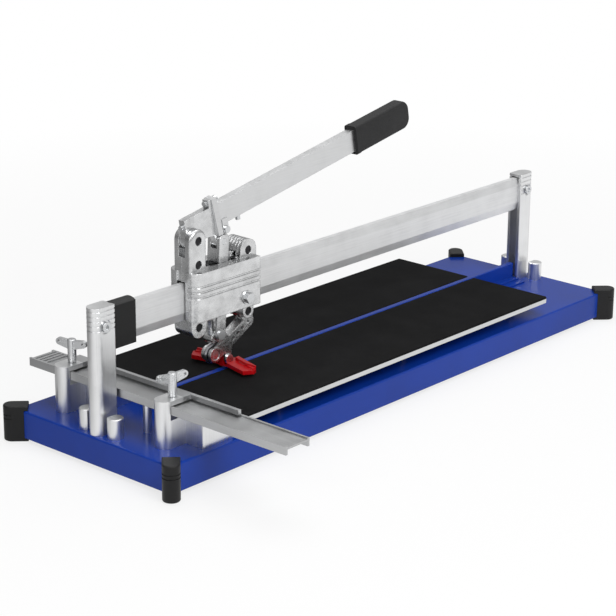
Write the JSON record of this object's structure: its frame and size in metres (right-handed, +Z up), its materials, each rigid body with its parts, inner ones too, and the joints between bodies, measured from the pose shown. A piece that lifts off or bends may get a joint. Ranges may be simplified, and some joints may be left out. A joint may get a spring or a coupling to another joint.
{
  "type": "manual tile cutter",
  "caption": "Manual tile cutter: sprung padded tables in a sheet-metal base, a flat rail on columns, and a rolling carriage whose lever drives a scoring wheel and breaker foot; sliding fence.",
  "frame": {"origin": "on the floor under the middle of the base pan", "axes": "+X along the rail from the fence end to the rear, +Y to the left, +Z up"},
  "size_m": [0.9244, 0.435, 0.359],
  "materials": {
    "blue_paint": "gloss powder coat",
    "black_plastic": "moulded, satin",
    "extruded_aluminium": "extruded, satin",
    "plated_steel": "zinc plated",
    "black_steel": "blackened",
    "ground_steel": "ground along its length",
    "table_metal": "mill finish",
    "mat_rubber": "matt, slightly grained",
    "spring_steel": "bright wire",
    "cast_aluminium": "cast and tumbled",
    "lever_steel": "zinc plated",
    "grip_rubber": "moulded, matt",
    "bearing_steel": "polished",
    "pad_brass": "plain",
    "carbide": "ground",
    "red_paint": "gloss paint"
  },
  "bodies": {
    "base": {"base_pan": "blue_paint", "base_bolts": "plated_steel", "foot_front_left": "black_plastic", "foot_front_right": "black_plastic", "foot_rear_left": "black_plastic", "foot_rear_right": "black_plastic", "front_column": "extruded_aluminium", "rear_column": "extruded_aluminium", "column_screws": "plated_steel", "column_nuts": "plated_steel", "rail": "ground_steel", "rail_stop": "black_plastic", "base_stubs": "extruded_aluminium", "ridge": "blue_paint", "clamp_post_right": "extruded_aluminium", "clamp_post_left": "extruded_aluminium", "fence_bridge": "extruded_aluminium", "bar_rest_right": "extruded_aluminium", "bar_rest_left": "extruded_aluminium", "table_springs_right": "spring_steel", "table_springs_left": "spring_steel"},
    "table_right": {"table_plate_right": "table_metal", "table_mat_right": "mat_rubber", "table_studs_right": "plated_steel", "table_nuts_right": "plated_steel"},
    "table_left": {"table_plate_left": "table_metal", "table_mat_left": "mat_rubber", "table_studs_left": "plated_steel", "table_nuts_left": "plated_steel"},
    "fence_bar": {"fence_bar": "extruded_aluminium"},
    "wing_screw_right": {"wing_screw_right": "plated_steel"},
    "wing_screw_left": {"wing_screw_left": "plated_steel"},
    "carriage": {"carriage_shell_right": "cast_aluminium", "carriage_shell_left": "cast_aluminium", "carriage_tie_bolts": "black_steel", "lever_pivot_bolt": "black_steel", "lower_roller_axles": "black_steel", "upper_roller_axles": "black_steel", "adjuster_bolt": "plated_steel", "guide_pads": "pad_brass"},
    "roller_lower_front": {"roller_lower_front": "bearing_steel"},
    "roller_lower_rear": {"roller_lower_rear": "bearing_steel"},
    "roller_upper_front": {"roller_upper_front": "bearing_steel"},
    "roller_upper_rear": {"roller_upper_rear": "bearing_steel"},
    "lever": {"lever_head": "cast_aluminium", "lever_tube": "lever_steel", "lever_grip": "grip_rubber", "flange_bolts": "plated_steel", "lever_screws": "plated_steel", "rod_pin": "plated_steel"},
    "push_rod": {"push_rod": "cast_aluminium"},
    "wheel_arm": {"wheel_arm": "cast_aluminium", "arm_pin": "plated_steel", "wheel_axle": "plated_steel", "breaker_pin": "plated_steel", "height_screw": "plated_steel"},
    "cutting_wheel": {"cutting_wheel": "carbide"},
    "breaker_foot": {"breaker_foot": "red_paint"}
  },
  "joints": [
    {"name": "table_right_press", "type": "slide", "parent": "base", "child": "table_right", "axis": [0, 0, 1], "range_m": [-0.004, 0], "stiffness_N_per_m": 9000, "springref_m": 0.004, "deforming": ["table_springs_right"]},
    {"name": "table_left_press", "type": "slide", "parent": "base", "child": "table_left", "axis": [0, 0, 1], "range_m": [-0.004, 0], "stiffness_N_per_m": 9000, "springref_m": 0.004, "deforming": ["table_springs_left"]},
    {"name": "fence_slide", "type": "slide", "parent": "base", "child": "fence_bar", "axis": [0, 1, 0], "range_m": [-0.044, 0.145]},
    {"name": "wing_right_turn", "type": "hinge", "parent": "base", "child": "wing_screw_right", "pos_m": [-0.3955, -0.088, 0.11], "axis": [0, 0, 1], "range_deg": [0, 360]},
    {"name": "wing_left_turn", "type": "hinge", "parent": "base", "child": "wing_screw_left", "pos_m": [-0.3955, 0.088, 0.11], "axis": [0, 0, 1], "range_deg": [0, 360]},
    {"name": "carriage_slide", "type": "slide", "parent": "base", "child": "carriage", "axis": [1, 0, 0], "range_m": [-0.082, 0.57]},
    {"name": "roller_lower_front_spin", "type": "hinge", "parent": "carriage", "child": "roller_lower_front", "pos_m": [-0.275, 0, 0.1388], "axis": [0, 1, 0], "continuous": true},
    {"name": "roller_lower_rear_spin", "type": "hinge", "parent": "carriage", "child": "roller_lower_rear", "pos_m": [-0.186, 0, 0.1388], "axis": [0, 1, 0], "continuous": true},
    {"name": "roller_upper_front_spin", "type": "hinge", "parent": "carriage", "child": "roller_upper_front", "pos_m": [-0.263, 0, 0.2087], "axis": [0, 1, 0], "continuous": true},
    {"name": "roller_upper_rear_spin", "type": "hinge", "parent": "carriage", "child": "roller_upper_rear", "pos_m": [-0.198, 0, 0.2087], "axis": [0, 1, 0], "continuous": true},
    {"name": "lever_hinge", "type": "hinge", "parent": "carriage", "child": "lever", "pos_m": [-0.275, 0, 0.251], "axis": [0, 1, 0], "range_deg": [-10, 6]},
    {"name": "rod_swing", "type": "hinge", "parent": "lever", "child": "push_rod", "pos_m": [-0.2245, 0, 0.239], "axis": [0, 1, 0], "range_deg": [-8, 13]},
    {"name": "arm_swing", "type": "hinge", "parent": "carriage", "child": "wheel_arm", "pos_m": [-0.186, 0, 0.1388], "axis": [0, 1, 0], "range_deg": [-7, 12]},
    {"name": "wheel_spin", "type": "hinge", "parent": "wheel_arm", "child": "cutting_wheel", "pos_m": [-0.239, 0, 0.0915], "axis": [0, 1, 0], "continuous": true},
    {"name": "foot_level", "type": "hinge", "parent": "wheel_arm", "child": "breaker_foot", "pos_m": [-0.215, 0, 0.08], "axis": [0, 1, 0], "range_deg": [-12, 7]}
  ],
  "couplings": [
    {"joint": "roller_lower_front_spin", "follows": "carriage_slide", "rad_per_m": -90.909},
    {"joint": "roller_lower_rear_spin", "follows": "carriage_slide", "rad_per_m": -90.909},
    {"joint": "roller_upper_front_spin", "follows": "carriage_slide", "rad_per_m": 90.909},
    {"joint": "roller_upper_rear_spin", "follows": "carriage_slide", "rad_per_m": 90.909},
    {"joint": "rod_swing", "follows": "lever_hinge", "ratio": -1.27},
    {"joint": "arm_swing", "follows": "lever_hinge", "ratio": -1.14},
    {"joint": "foot_level", "follows": "lever_hinge", "ratio": 1.14}
  ]
}
